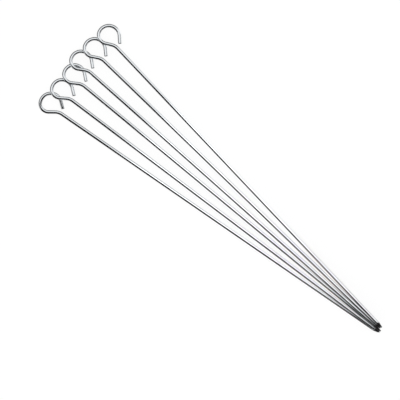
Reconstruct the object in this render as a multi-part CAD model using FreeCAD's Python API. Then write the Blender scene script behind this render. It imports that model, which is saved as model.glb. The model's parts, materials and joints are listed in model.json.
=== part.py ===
import FreeCAD, Part
import math
import os

# Six kebab skewers, each bent from one length of round stainless wire, lie on a table in a fan.
# Their points are stacked on each other, and each finger loop leans over the loop beneath it.
# X runs along the fan towards the points, Z is up, and the origin is under the middle of the fan.

# The wire, and the slack left where one wire lies on another, in mm
wire_diameter = 3.0
lie_gap = 0.1

# The straight shank, from the end of its ground point to the knee
shank_length = 337.5
point_length = 5.0
point_end_diameter = 1.0

# The finger loop, in the order that the wire is bent: knee, neck, throat, crown and tail
knee_radius = 11.6
neck_length = 5.5
throat_radius = 7.5
crown_radius = 9.3
tail_length = 7.1

# How far each bend turns, in degrees, positive to the left on the way from the point
knee_turn = 34.0
throat_turn = -104.0
crown_turn = -150.0

# The deburred edge of the cut end
end_chamfer = 0.4

# How far apart the round sections of a bend are at most, in degrees
section_step = 15.0

# The fan, from the lowest skewer to the topmost: where each point heads, in degrees, and
# where its end is, to the left of the fan's middle line and back from its front
fan_headings = [6.02, 3.56, 1.03, -1.03, -3.45, -6.0]
tip_side_shares = [-1.25, -1.02, -0.54, -0.37, 0.04, 0.47]
tip_back_shares = [-0.14, -0.46, -0.5, 0.58, 0.2, 0.05]

# How the pile is settled: the steepest lean tried, and how often each search is repeated
steepest_lean = 60.0
halvings = 24
rounds = 4

ORIGIN = FreeCAD.Vector(0, 0, 0)
ALONG = FreeCAD.Vector(1, 0, 0)
ACROSS = FreeCAD.Vector(0, 1, 0)
UP = FreeCAD.Vector(0, 0, 1)

wire_radius = wire_diameter / 2
centre_distance = wire_diameter + lie_gap


def direction(heading):
    return FreeCAD.Vector(math.cos(math.radians(heading)), math.sin(math.radians(heading)), 0)


class WireRoute:
    """A bent wire drawn flat: its middle line, and the round sections that stand on each stretch."""

    def __init__(self, start, heading):
        self.end = start
        self.heading = heading
        self.edges = []
        self.stretches = []

    def section(self, place, heading, diameter):
        return Part.Wire(Part.makeCircle(diameter / 2, place, direction(heading)))

    def run(self, length, first_diameter=wire_diameter, last_diameter=wire_diameter):
        start = self.end
        self.end = start + direction(self.heading) * length
        self.edges.append(Part.LineSegment(start, self.end).toShape())
        first = self.section(start, self.heading, first_diameter)
        last = self.section(self.end, self.heading, last_diameter)
        self.stretches.append([first, last])

    def bend(self, radius, turn):
        to_centre = math.copysign(90, turn)
        centre = self.end + direction(self.heading + to_centre) * radius

        def place(turned):
            return centre + direction(self.heading - to_centre + turned) * radius

        self.edges.append(Part.Arc(place(0), place(turn / 2), place(turn)).toShape())
        steps = math.ceil(abs(turn) / section_step)
        turns = [turn * step / steps for step in range(steps + 1)]
        sections = [self.section(place(turned), self.heading + turned, wire_diameter) for turned in turns]
        self.stretches.append(sections)
        self.end = place(turn)
        self.heading += turn

    def solid(self):
        stretches = [Part.makeLoft(sections, True, True) for sections in self.stretches]
        return stretches[0].multiFuse(stretches[1:])


def skewer_route():
    """One skewer laid flat, from the end of its point, at the origin, to its cut end."""
    route = WireRoute(ORIGIN, 180)
    route.run(point_length, first_diameter=point_end_diameter)
    route.run(shank_length - point_length)
    route.bend(knee_radius, knee_turn)
    route.run(neck_length)
    route.bend(throat_radius, throat_turn)
    route.bend(crown_radius, crown_turn)
    route.run(tail_length - end_chamfer)
    route.run(end_chamfer, last_diameter=wire_diameter - 2 * end_chamfer)
    return route


class Resting:
    """How one skewer lies: the heights of its tip and knee, and its lean about its own shank."""

    def __init__(self, number, tip_height, knee_height, lean):
        self.number = number
        self.tip_height = tip_height
        self.knee_height = knee_height
        self.lean = lean

    def placement(self):
        rise = math.degrees(math.asin((self.tip_height - self.knee_height) / shank_length))
        turned = FreeCAD.Rotation(UP, fan_headings[self.number])
        turned = turned * FreeCAD.Rotation(ACROSS, -rise)
        turned = turned * FreeCAD.Rotation(ALONG, -self.lean)
        back = tip_back_shares[self.number] * wire_diameter
        side = tip_side_shares[self.number] * wire_diameter
        return FreeCAD.Placement(FreeCAD.Vector(-back, side, self.tip_height), turned)

    def laid(self, shape):
        copy = shape.copy()
        copy.Placement = self.placement()
        return copy

    def lower_to_table(self, loop):
        """Sets the knee's height so that the lowest side of the loop touches the table."""
        for step in range(rounds):
            self.knee_height += wire_radius - self.laid(loop).BoundBox.ZMin


def smallest(passes, low, high):
    """The smallest value from low to high that passes, found by halving."""
    if passes(low):
        return low
    for halving in range(halvings):
        middle = (low + high) / 2
        if passes(middle):
            high = middle
        else:
            low = middle
    return high


def settled(number, shank, loop, whole, beneath):
    """Lays a skewer on the one beneath: shank over shank at the tips, and loop over loop."""
    lower_shank = beneath.laid(shank)
    lower_whole = beneath.laid(whole)
    resting = Resting(number, beneath.tip_height + centre_distance, wire_radius, 0)

    def loop_is_clear(lean):
        resting.lean = lean
        resting.lower_to_table(loop)
        return resting.laid(loop).distToShape(lower_whole)[0] >= centre_distance

    def shank_is_clear(tip_height):
        resting.tip_height = tip_height
        return resting.laid(shank).distToShape(lower_shank)[0] >= centre_distance

    for attempt in range(rounds):
        resting.lean = smallest(loop_is_clear, 0, steepest_lean)
        highest = beneath.tip_height + centre_distance + wire_diameter
        resting.tip_height = smallest(shank_is_clear, beneath.tip_height, highest)
        resting.lower_to_table(loop)
    return resting


# The first two edges of the route are the point and the shank, and the rest is the finger loop
route = skewer_route()
skewer = route.solid()
shank = Part.Wire(route.edges[:2])
loop = Part.Wire(route.edges[2:])
whole = Part.Wire(route.edges)

pile = [Resting(0, wire_radius, wire_radius, 0)]
for number in range(1, len(fan_headings)):
    pile.append(settled(number, shank, loop, whole, pile[-1]))

skewers = [resting.laid(skewer) for resting in pile]
box = Part.makeCompound(skewers).optimalBoundingBox(False, False)
to_middle = FreeCAD.Vector(-box.Center.x, -box.Center.y, 0)

os.makedirs("parts", exist_ok=True)
for number, (resting, solid) in enumerate(zip(pile, skewers), start=1):
    solid.translate(to_middle)
    solid.exportStep(f"parts/skewer_{number}.step")
    print(
        f"skewer_{number}: tip {resting.tip_height:.2f}, knee {resting.knee_height:.2f},"
        f" lean {resting.lean:.2f} degrees, {solid.Volume:.1f} mm3, valid {solid.isValid()}"
    )

for number, (lower, upper) in enumerate(zip(skewers, skewers[1:]), start=1):
    gap = lower.distToShape(upper)[0]
    print(f"gap from skewer_{number} to skewer_{number + 1}: {gap:.3f}")

print(f"size {box.XLength:.1f} x {box.YLength:.1f} x {box.ZLength:.1f}, lowest {box.ZMin:.4f}")
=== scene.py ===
import json
import math

import bmesh
import bpy
from mathutils import Matrix, Vector


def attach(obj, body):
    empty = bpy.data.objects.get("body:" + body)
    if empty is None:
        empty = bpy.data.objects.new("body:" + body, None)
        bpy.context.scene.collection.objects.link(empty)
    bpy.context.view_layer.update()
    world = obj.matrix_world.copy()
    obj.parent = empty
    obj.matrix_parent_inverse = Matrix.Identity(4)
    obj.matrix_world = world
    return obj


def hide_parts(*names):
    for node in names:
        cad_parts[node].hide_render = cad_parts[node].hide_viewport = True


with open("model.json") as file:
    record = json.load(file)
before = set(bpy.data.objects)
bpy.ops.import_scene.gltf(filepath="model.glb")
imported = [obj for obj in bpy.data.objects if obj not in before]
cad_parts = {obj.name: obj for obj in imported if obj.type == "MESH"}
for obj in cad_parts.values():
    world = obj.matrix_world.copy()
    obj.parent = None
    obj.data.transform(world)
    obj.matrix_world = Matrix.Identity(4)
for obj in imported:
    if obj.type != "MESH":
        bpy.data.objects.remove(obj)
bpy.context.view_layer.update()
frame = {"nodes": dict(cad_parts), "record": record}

# The wire
# Each skewer is one length of round, bright drawn stainless wire. The drawing die leaves fine
# lines along it, and use adds hairline scratches and a film where fingers hold the loop.
millimetre = 0.001
mounts = {mount["name"]: mount for mount in frame["record"]["mounts"]}
shank_size = mounts["skewer_1_shank"]["dims"]
wire_radius = shank_size["r_mm"] * millimetre
straight_length = shank_size["length_mm"] * millimetre
point_length = 0.005
knee_along = point_length + straight_length
film_from = knee_along - 0.012
film_to = knee_along + 0.006
wire_colours = ((0.705, 0.73, 0.75), (0.82, 0.845, 0.865))

# Marks to a millimetre, along the wire and across it, and where on its noise each mark starts
draw_line_scales = (0.03, 7.0, 7.0)
broad_line_scales = (0.012, 1.6, 1.6)
film_scales = (0.11, 0.5, 0.5)
film_starts = (0.45, 0.75)
scratch_scales = (0.21, 0.9, 0.9)
scratch_width = (0.0, 0.012)
scratch_patch_scales = (0.3, 1.1, 1.1)
scratch_patch_starts = (0.5, 0.6)
peel_scales = (5.0, 5.0, 5.0)

# How much each mark lightens or darkens the metal, roughens it and raises or lowers it
line_shade, film_shade, scratch_shade = 0.5, 0.15, 0.2
shade_ends = (0.25, 0.75)
polished_roughness, line_roughness, film_roughness = 0.05, 0.05, 0.03
handled_roughness, scratch_roughness, peel_roughness = 0.07, 0.2, 0.12
broad_height, scratch_depth, peel_height = 0.6, 0.7, 2.0
wire_relief = 0.000002


class Signal:
    """A shader node's output. Sums and products of signals add their own Math nodes."""

    def __init__(self, tree, socket=None):
        self.tree = tree
        self.socket = socket

    def node(self, kind, settings, values, output=0):
        """Any other node: its settings come first, then its values or links, by name or number."""
        made = self.tree.nodes.new(kind)
        for name, setting in settings.items():
            if name == "stops":
                ramp = made.color_ramp.elements
                for stop, (place, colour) in zip((ramp[0], ramp[1]), setting):
                    stop.position = place
                    stop.color = (*colour, 1)
            else:
                setattr(made, name, setting)
        for name, value in values.items():
            if isinstance(value, Signal):
                self.tree.links.new(value.socket, made.inputs[name])
            else:
                made.inputs[name].default_value = value
        return Signal(self.tree, made.outputs[output] if made.outputs else None)

    def maths(self, operation, *values):
        return self.node("ShaderNodeMath", {"operation": operation}, dict(enumerate(values)))

    def __add__(self, other):
        return self.maths("ADD", self, other)

    __radd__ = __add__

    def __sub__(self, other):
        return self.maths("SUBTRACT", self, other)

    def __rsub__(self, other):
        return self.maths("SUBTRACT", other, self)

    def __mul__(self, other):
        return self.maths("MULTIPLY", self, other)

    __rmul__ = __mul__

    def __neg__(self):
        return self.maths("MULTIPLY", self, -1)

    def __abs__(self):
        return self.maths("ABSOLUTE", self)

    def __gt__(self, other):
        return self.maths("GREATER_THAN", self, other)

    def towards(self, other, share):
        """This where share is 0, other where share is 1, and a mix of both between."""
        return self + (other - self) * share

    def between(self, low, high):
        """0 below low and 1 above high, with a smooth rise."""
        ends = {"Value": self, "From Min": low, "From Max": high}
        return self.node("ShaderNodeMapRange", {"interpolation_type": "SMOOTHSTEP"}, ends)

    def axis(self, name):
        return self.node("ShaderNodeSeparateXYZ", {}, {"Vector": self}, name)

    def stretched(self, scales):
        return self.node("ShaderNodeMapping", {}, {"Vector": self, "Scale": scales})

    def grain(self, scales, detail=3.0):
        """Noise over this vector, where each axis is first stretched by its scale."""
        noise = {"Vector": self.stretched(scales), "Scale": 1.0, "Detail": detail}
        return self.node("ShaderNodeTexNoise", {}, noise)

    def edges(self, scales):
        """How far this vector is from the nearest edge of a net of cells."""
        cells = {"Vector": self.stretched(scales), "Scale": 1.0}
        return self.node("ShaderNodeTexVoronoi", {"feature": "DISTANCE_TO_EDGE"}, cells, "Distance")

    def tint(self, colours, low, high):
        """The first colour below low, the second above high, and a mix of both between."""
        stops = ((low, colours[0]), (high, colours[1]))
        return self.node("ShaderNodeValToRGB", {"stops": stops}, {"Fac": self})


def new_finish(name):
    finish = bpy.data.materials.new(name)
    finish.use_nodes = True
    finish.node_tree.nodes.clear()
    return finish, Signal(finish.node_tree)


def on_wire(tree):
    """Where a point is on its wire, in millimetres: along it, to its side and up."""
    return tree.node("ShaderNodeAttribute", {"attribute_name": "wire_place"}, {}, "Vector")


def metal(tree, colour, roughness, height, relief):
    """The metal itself, whose colour, roughness and relief change over its surface."""
    bump = tree.node("ShaderNodeBump", {}, {"Distance": relief, "Height": height})
    surface = {"Base Color": colour, "Metallic": 1.0, "Roughness": roughness, "Normal": bump}
    shader = tree.node("ShaderNodeBsdfPrincipled", {}, surface)
    tree.node("ShaderNodeOutputMaterial", {}, {"Surface": shader})


def bright_wire():
    finish, tree = new_finish("bright_drawn_wire")
    place = on_wire(tree)
    drawn_out = tree.node("ShaderNodeAttribute", {"attribute_name": "stretch"}, {}, "Fac")
    draw_lines = place.grain(draw_line_scales)
    broad_lines = place.grain(broad_line_scales)
    film = place.grain(film_scales).between(*film_starts)
    handled = place.axis("X").between(film_from / millimetre, film_to / millimetre)
    scratches = 1 - place.edges(scratch_scales).between(*scratch_width)
    scratches = scratches * place.grain(scratch_patch_scales).between(*scratch_patch_starts)
    peel = place.grain(peel_scales) * drawn_out
    shade = draw_lines * line_shade + broad_lines * line_shade
    shade = shade - film * handled * film_shade - scratches * scratch_shade
    colour = shade.tint(wire_colours, *shade_ends)
    roughness = polished_roughness + draw_lines * line_roughness
    roughness = roughness + film * (film_roughness + handled * handled_roughness)
    roughness = roughness + scratches * scratch_roughness + peel * peel_roughness
    height = draw_lines + broad_lines * broad_height - scratches * scratch_depth + peel * peel_height
    metal(tree, colour, roughness, height, wire_relief)
    return finish


class SkewerWire:
    """One skewer drawn flat, as rings of corners round the wire from its point to its cut end."""

    corners_round = 64
    longest_band = 0.0025

    def __init__(self, start):
        self.place = Vector((start, 0, 0))
        self.heading = math.pi
        self.along = 0.0
        self.corners = []
        self.wire_places = []
        self.stretches = []
        self.band_finishes = []

    def forward(self):
        return Vector((math.cos(self.heading), math.sin(self.heading), 0))

    def across(self):
        return Vector((-math.sin(self.heading), math.cos(self.heading), 0))

    def ring(self, radius, finish, shape=None, stretch=None):
        """A ring here. shape takes off some radius, and stretch says how far the metal was drawn."""
        for corner in range(self.corners_round):
            angle = 2 * math.pi * corner / self.corners_round
            reach = radius - (shape(angle) if shape else 0)
            side = reach * math.cos(angle)
            rise = reach * math.sin(angle)
            self.corners.append(self.place + self.across() * side + Vector((0, 0, rise)))
            self.wire_places.append(Vector((self.along, side, rise)) / millimetre)
            self.stretches.append(stretch(angle) if stretch else 0)
        self.band_finishes.append(finish)

    def pole(self, place):
        """One corner on the wire's middle line, which closes an end."""
        self.corners.append(place)
        self.wire_places.append(Vector((self.along, 0, 0)) / millimetre)
        self.stretches.append(0)

    def move(self, length):
        self.place = self.place + self.forward() * length
        self.along += length

    def run(self, length, finish):
        bands = math.ceil(length / self.longest_band)
        for band in range(bands):
            self.move(length / bands)
            self.ring(wire_radius, finish)


# The shank and its ground point
# The shank is left straight as drawn. Its end is ground to a short blunt point on a belt, with
# the wire turned by hand, so the point is a little uneven and marked with fine rings. Its
# near-black colour is a painted dark reflection; the rings and patches over it are real marks.
point_end_radius = 0.0005
point_end_round = 0.00018
point_end_steps = 5
cone_steps = 24
point_flats = 5
point_flat_depth = 0.00003
point_flat_twist = 2.0
# Painted dark reflection: the point's near-black colours stand in for the dark surroundings it
# mirrors
ground_point_painted_dark_colours = ((0.05, 0.05, 0.055), (0.12, 0.12, 0.125))
ground_ring_scales = (26.0, 0.9, 0.9)
ground_patch_scales = (1.1, 0.8, 0.8)
ring_shade, patch_shade = 0.6, 0.4
ground_shade_ends = (0.3, 0.7)
ground_roughness, ring_roughness, patch_roughness = 0.22, 0.12, 0.06
patch_height = 0.5
ground_relief = 0.000014
BRIGHT, GROUND, SHEARED = range(3)


def ground_point():
    finish, tree = new_finish("belt_ground_point_painted_dark")
    place = on_wire(tree)
    rings = place.grain(ground_ring_scales)
    patches = place.grain(ground_patch_scales)
    shade = rings * ring_shade + patches * patch_shade
    # The colour is a painted dark reflection, varied by the real grinding rings and patches
    colour = shade.tint(ground_point_painted_dark_colours, *ground_shade_ends)
    roughness = ground_roughness + rings * ring_roughness + patches * patch_roughness
    metal(tree, colour, roughness, rings + patches * patch_height, ground_relief)
    return finish


def grind_point(wire):
    wire.pole(wire.place.copy())
    wire.ring((point_end_radius - point_end_round) / 2, GROUND)
    start = wire.place.copy()
    for step in range(point_end_steps + 1):
        turn = math.pi / 2 * step / point_end_steps
        wire.along = point_end_round * (1 - math.cos(turn))
        wire.place = start + wire.forward() * wire.along
        wire.ring(point_end_radius - point_end_round * (1 - math.sin(turn)), GROUND)
    for step in range(1, cone_steps + 1):
        share = step / cone_steps
        wire.move((point_length - point_end_round) / cone_steps)
        flat_depth = point_flat_depth * math.sin(math.pi * share)

        def flats(angle):
            return flat_depth * (1 + math.cos(point_flats * angle + point_flat_twist * share))

        wire.ring(point_end_radius + (wire_radius - point_end_radius) * share, GROUND, flats)


# The finger loop
# The same wire is turned a little to one side at the knee, back round the throat, and on round
# the crown, on a bending jig. Its pins press a slight flat inside each bend, and the skin of the
# metal roughens where the outside of a bend is stretched.
knee_radius = 0.0116
neck_length = 0.0055
throat_radius = 0.0075
crown_radius = 0.0093
tail_length = 0.0071
end_round = 0.0004
knee_turn = math.radians(34)
throat_turn = math.radians(-104)
crown_turn = math.radians(-150)
bend_step = math.radians(2.5)

# The pin's flat: its depth, how narrow it is, and how soon the pin grips from each end of a bend
pin_flat_depth = 0.00004
pin_flat_power = 8
grip_rise = 8


def bend(wire, radius, turn):
    centre = wire.place + wire.across() * math.copysign(radius, turn)
    start, first_heading, first_along = wire.place.copy(), wire.heading, wire.along
    inside = 0 if turn > 0 else math.pi
    steps = math.ceil(abs(turn) / bend_step)
    for step in range(1, steps + 1):
        share = step / steps
        wire.place = centre + Matrix.Rotation(turn * share, 3, "Z") @ (start - centre)
        wire.heading = first_heading + turn * share
        wire.along = first_along + radius * abs(turn) * share
        gripped = min(1, grip_rise * share * (1 - share))

        def pin_flat(angle):
            return pin_flat_depth * gripped * max(0, math.cos(angle - inside)) ** pin_flat_power

        def stretch(angle):
            return gripped * max(0, -math.cos(angle - inside)) * throat_radius / radius

        wire.ring(wire_radius, BRIGHT, pin_flat, stretch)


def bend_loop(wire):
    bend(wire, knee_radius, knee_turn)
    wire.run(neck_length, BRIGHT)
    bend(wire, throat_radius, throat_turn)
    bend(wire, crown_radius, crown_turn)
    wire.run(tail_length - end_round, BRIGHT)


# The cut end
# The wire is cropped off by a shear and its edge is tumbled round. The blade leaves one part of
# the face burnished and the rest torn, grainy and darker, with a slight hollow.
end_round_steps = 8
end_hollow = 0.00004
face_ring_shares = (0.85, 0.6, 0.35, 0.12)
sheared_colours = ((0.30, 0.30, 0.31), (0.62, 0.62, 0.63))
torn_grain_scales = (7.0, 7.0, 7.0)
torn_grain_detail = 5.0
torn_edge_wander = 0.5
torn_starts = (0.1, 0.5)
blade_line_scales = (0.5, 14.0, 0.5)
sheared_shade_ends = (0.2, 0.8)
burnished_roughness, torn_roughness = 0.26, 0.24
torn_height = 3.0
sheared_relief = 0.00002


def sheared_face():
    finish, tree = new_finish("sheared_end")
    place = on_wire(tree)
    grains = place.grain(torn_grain_scales, torn_grain_detail)
    blade_lines = place.grain(blade_line_scales)
    torn = (place.axis("Z") + grains * torn_edge_wander).between(*torn_starts)
    shade = grains * torn + blade_lines * (1 - torn)
    colour = shade.tint(sheared_colours, *sheared_shade_ends)
    height = grains * torn * torn_height + blade_lines * (1 - torn)
    metal(tree, colour, burnished_roughness + torn * torn_roughness, height, sheared_relief)
    return finish


def crop_end(wire):
    start, start_along = wire.place.copy(), wire.along
    for step in range(1, end_round_steps + 1):
        turn = math.pi / 2 * step / end_round_steps
        wire.place = start + wire.forward() * end_round * math.sin(turn)
        wire.along = start_along + end_round * math.sin(turn)
        finish = BRIGHT if step < end_round_steps - 1 else SHEARED
        wire.ring(wire_radius - end_round * (1 - math.cos(turn)), finish)
    face = wire.place.copy()
    for share in face_ring_shares:
        wire.place = face - wire.forward() * end_hollow * (1 - share ** 2)
        wire.ring((wire_radius - end_round) * share, SHEARED)
    wire.pole(face - wire.forward() * end_hollow)


# The six skewers
# Six equal skewers lie in a fan, points together and loops apart, each leaning on the one
# beneath. Nothing fastens them, so each is a piece of its own that can be picked up.
finishes = (bright_wire(), ground_point(), sheared_face())


def lying(node):
    """Where a skewer lies: from its flat drawing, centred on the shank, to its place in the fan."""
    shank = mounts[f"{node}_shank"]
    along = Vector(shank["axis"]).normalized()
    loop_normal = Vector(mounts[f"{node}_loop"]["axis"])
    across = loop_normal.cross(along).normalized()
    turned = Matrix((along, across, along.cross(across))).transposed()
    return Matrix.Translation(Vector(shank["pos_m"])) @ turned.to_4x4()


def skewer_mesh(name):
    wire = SkewerWire(straight_length / 2 + point_length)
    grind_point(wire)
    wire.run(straight_length, BRIGHT)
    bend_loop(wire)
    crop_end(wire)
    count = wire.corners_round
    last = len(wire.corners) - 1
    faces, face_finishes = [], []
    for corner in range(count):
        after = (corner + 1) % count
        faces.append((0, 1 + after, 1 + corner))
        face_finishes.append(GROUND)
        faces.append((last, last - count + corner, last - count + after))
        face_finishes.append(SHEARED)
        for band in range(1, len(wire.band_finishes)):
            near = 1 + (band - 1) * count
            far = near + count
            faces.append((near + corner, near + after, far + after, far + corner))
            face_finishes.append(wire.band_finishes[band])
    mesh = bpy.data.meshes.new(name)
    mesh.from_pydata(wire.corners, [], faces)
    mesh.polygons.foreach_set("material_index", face_finishes)
    mesh.polygons.foreach_set("use_smooth", [True] * len(faces))
    places = mesh.attributes.new("wire_place", "FLOAT_VECTOR", "POINT")
    places.data.foreach_set("vector", [number for place in wire.wire_places for number in place])
    mesh.attributes.new("stretch", "FLOAT", "POINT").data.foreach_set("value", wire.stretches)
    for finish in finishes:
        mesh.materials.append(finish)
    return mesh


def put_in_scene(name, data):
    made = bpy.data.objects.new(name, data)
    bpy.context.scene.collection.objects.link(made)
    return made


for node in sorted(frame["nodes"]):
    mesh = skewer_mesh(f"{node}_wire")
    mesh.transform(lying(node))
    mesh.update()
    skewer = put_in_scene(f"{node}_wire", mesh)
    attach(skewer, node)
    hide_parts(node)

# The table
# A white sheet under the fan, which keeps a faint shadow of the wires. Its white is for the
# camera alone: the metal mirrors the tent over and under it instead.
table_half_width = 1.5
paper_colour = (0.12, 0.12, 0.12, 1)
paper_glow = 0.895
white = (1, 1, 1, 1)


def sheet_mesh(name, low, high):
    """A flat rectangle between two of its corners."""
    corners = [(low[0], low[1], 0), (high[0], low[1], 0), (high[0], high[1], 0), (low[0], high[1], 0)]
    mesh = bpy.data.meshes.new(name)
    mesh.from_pydata(corners, [], [(0, 1, 2, 3)])
    return mesh


table_mesh = sheet_mesh("table", (-table_half_width,) * 2, (table_half_width,) * 2)
table = put_in_scene("table", table_mesh)
table.visible_glossy = False

white_sheet, tree = new_finish("white_sheet")
seen = tree.node("ShaderNodeLightPath", {}, {}, "Is Camera Ray")
paper = tree.node("ShaderNodeBsdfDiffuse", {}, {"Color": paper_colour})
glow = tree.node("ShaderNodeEmission", {}, {"Color": white, "Strength": seen * paper_glow})
lit_sheet = tree.node("ShaderNodeAddShader", {}, {0: paper, 1: glow})
tree.node("ShaderNodeOutputMaterial", {}, {"Surface": lit_sheet})
table_mesh.materials.append(white_sheet)

# The light
# A plain white studio lights the table. The metal mirrors a light tent round the fan, black on
# one side, which makes the dark line along each wire, and a gridded softbox over the shanks,
# whose honeycomb lets light out straight down and hardly to the side.
sky_strength = 1.0
studio = bpy.data.worlds.new("studio")
bpy.context.scene.world = studio
studio.use_nodes = True
studio.node_tree.nodes.clear()
studio.cycles_visibility.glossy = False
tree = Signal(studio.node_tree)
sky = tree.node("ShaderNodeBackground", {}, {"Color": white, "Strength": sky_strength})
tree.node("ShaderNodeOutputWorld", {}, {"Surface": sky})


def mirrored_only(name, mesh, cloth):
    """Puts up a piece of the studio that nothing but the metal's reflections can see."""
    made = put_in_scene(name, mesh)
    made.visible_camera = False
    made.visible_diffuse = False
    made.visible_shadow = False
    cloth.cycles.emission_sampling = "NONE"
    mesh.materials.append(cloth)
    return made


def spot_on(tree):
    """Where a point of the cloth is, along each axis."""
    spot = tree.node("ShaderNodeTexCoord", {}, {}, "Object")
    return [spot.axis(name) for name in "XYZ"]


def between_wires(tree):
    """1 where a wire shows the cloth by way of another wire, and 0 where it shows it alone."""
    return tree.node("ShaderNodeLightPath", {}, {}, "Glossy Depth") > 1


# The tent's light side: its wall, with each step's start, end and rise along the fan, and its roof
tent_radius = 0.6
tent_segments = 96
tent_rings = 48
wall_light = 0.14
wall_steps = ((-0.22, 0.0, 1.15), (0.07, 0.16, -0.6), (0.17, 0.26, 0.2))
roof_light = 1.1
roof_rise = (0.12, 0.34)

# Its black side: what comes up through the floor, most of all under the points, and the seam
# between the two sides, which passes over the finger loops
black_light = 0.01
floor_light = 0.1
floor_drop = (0.1, 0.5)
points_light = 0.2
points_from = (0.12, 0.17)
points_drop = (-0.1, 0.3)
seam_x = -0.17
seam_y = -0.015
seam_slope = 0.858
seam_blur = 0.06

# A light strip on the black side, level with the fan, which brightens the wires from low down.
# It leaves out the middle, which the shanks mirror straight up.
strip_light = 0.6
strip_ends = (0.25, 0.33)
strip_far_end = (0.38, 0.46)
strip_side = (0.15, 0.25)
strip_edge = (0.12, 0.3)

# What a wire shows of its neighbour: dark on the topmost skewer's side, light on the other
neighbour_dark = 0.05
neighbour_light = 1.0
neighbour_blur = 0.1

tent_mesh = bpy.data.meshes.new("tent")
tent_shape = bmesh.new()
bmesh.ops.create_uvsphere(
    tent_shape, u_segments=tent_segments, v_segments=tent_rings, radius=tent_radius
)
tent_shape.to_mesh(tent_mesh)
tent_shape.free()
tent_cloth, tree = new_finish("tent_cloth")
x, y, z = spot_on(tree)
wall = wall_light
for start, end, rise in wall_steps:
    wall = wall + x.between(start, end) * rise
cloth = wall.towards(roof_light, z.between(*roof_rise))
black = black_light + (-z).between(*floor_drop) * floor_light
black = black + x.between(*points_from) * (-z).between(*points_drop) * points_light
lit_half = (y - seam_y - (x - seam_x) * seam_slope).between(-seam_blur, seam_blur)
near_strip = abs(x).between(*strip_ends) * (-y).between(*strip_side)
far_strip = x.between(*strip_far_end) * y.between(*strip_side)
strip = (near_strip + far_strip) * (1 - abs(z).between(*strip_edge))
strength = black.towards(cloth, lit_half).towards(strip_light, strip * (1 - lit_half))
neighbour = (-y).between(-neighbour_blur, neighbour_blur) * (neighbour_light - neighbour_dark)
strength = strength.towards(neighbour_dark + neighbour, between_wires(tree))
glow = tree.node("ShaderNodeEmission", {}, {"Strength": strength})
tree.node("ShaderNodeOutputMaterial", {}, {"Surface": glow})
mirrored_only("tent", tent_mesh, tent_cloth)

# The softbox: its corners, its height and its lean
softbox_low = (-0.14, -0.17)
softbox_high = (0.25, 0.45)
softbox_height = 0.3
softbox_lean = (math.radians(-10.5), math.radians(-20), 0)
loops_fade = (-0.14, -0.09)
points_fade = (0.1, 0.17)

# The beam that its grid lets straight out, within 24 to 27 degrees, as 1 less the cosine. It
# dims a little along the shanks, and near the points only its far side stays.
beam_edge = (0.088, 0.113)
beam_light = 2.0
beam_dim = 0.3
beam_dim_from = (0.0, 0.12)
beam_side = (-0.01, 0.03)

# The light that leaks past the grid, within 37 to 47 degrees, on the box's far side
leak_edge = (0.2, 0.32)
leak_side = (0.05, 0.15)
leak_light = 1.5
leak_dim = 0.3
leak_dim_from = (-0.1, 0.0)
leak_points_dim = 0.4
grid_light = 0.01

softbox_mesh = sheet_mesh("softbox", softbox_low, softbox_high)
softbox_cloth, tree = new_finish("softbox_grid")
x, y, z = spot_on(tree)
aslant = tree.node("ShaderNodeLayerWeight", {}, {"Blend": 0.5}, "Facing")
past_loops = x.between(*loops_fade)
to_points = x.between(*points_fade)
beam = past_loops * beam_light - x.between(*beam_dim_from) * beam_dim
beam = (1 - aslant.between(*beam_edge)) * beam * (1 - to_points * (1 - y.between(*beam_side)))
leak = leak_light - x.between(*leak_dim_from) * leak_dim - to_points * leak_points_dim
leak = (1 - aslant.between(*leak_edge)) * y.between(*leak_side) * leak
glow = tree.node("ShaderNodeEmission", {}, {"Strength": beam + leak + grid_light})
past = tree.node("ShaderNodeBsdfTransparent", {}, {})
solid = past_loops * (1 - between_wires(tree))
softbox_front = tree.node("ShaderNodeMixShader", {}, {0: solid, 1: past, 2: glow})
tree.node("ShaderNodeOutputMaterial", {}, {"Surface": softbox_front})
softbox = mirrored_only("softbox", softbox_mesh, softbox_cloth)
softbox.location = (0, 0, softbox_height)
softbox.rotation_euler = softbox_lean

# The camera
# It looks straight down on the fan, from far enough away that the wires keep their size.
picture_width = 0.352
picture_turn = math.radians(40.6)
looked_at = (-0.01325, -0.01845)
lens = 800
sensor = 36
farthest_seen = 100
camera_data = bpy.data.cameras.new("camera")
camera_data.lens = lens
camera_data.sensor_width = sensor
camera_data.clip_end = farthest_seen
camera = put_in_scene("camera", camera_data)
camera.location = (*looked_at, picture_width * lens / sensor)
camera.rotation_euler = (0, 0, picture_turn)
bpy.context.scene.camera = camera
bpy.context.scene.view_settings.view_transform = "Standard"
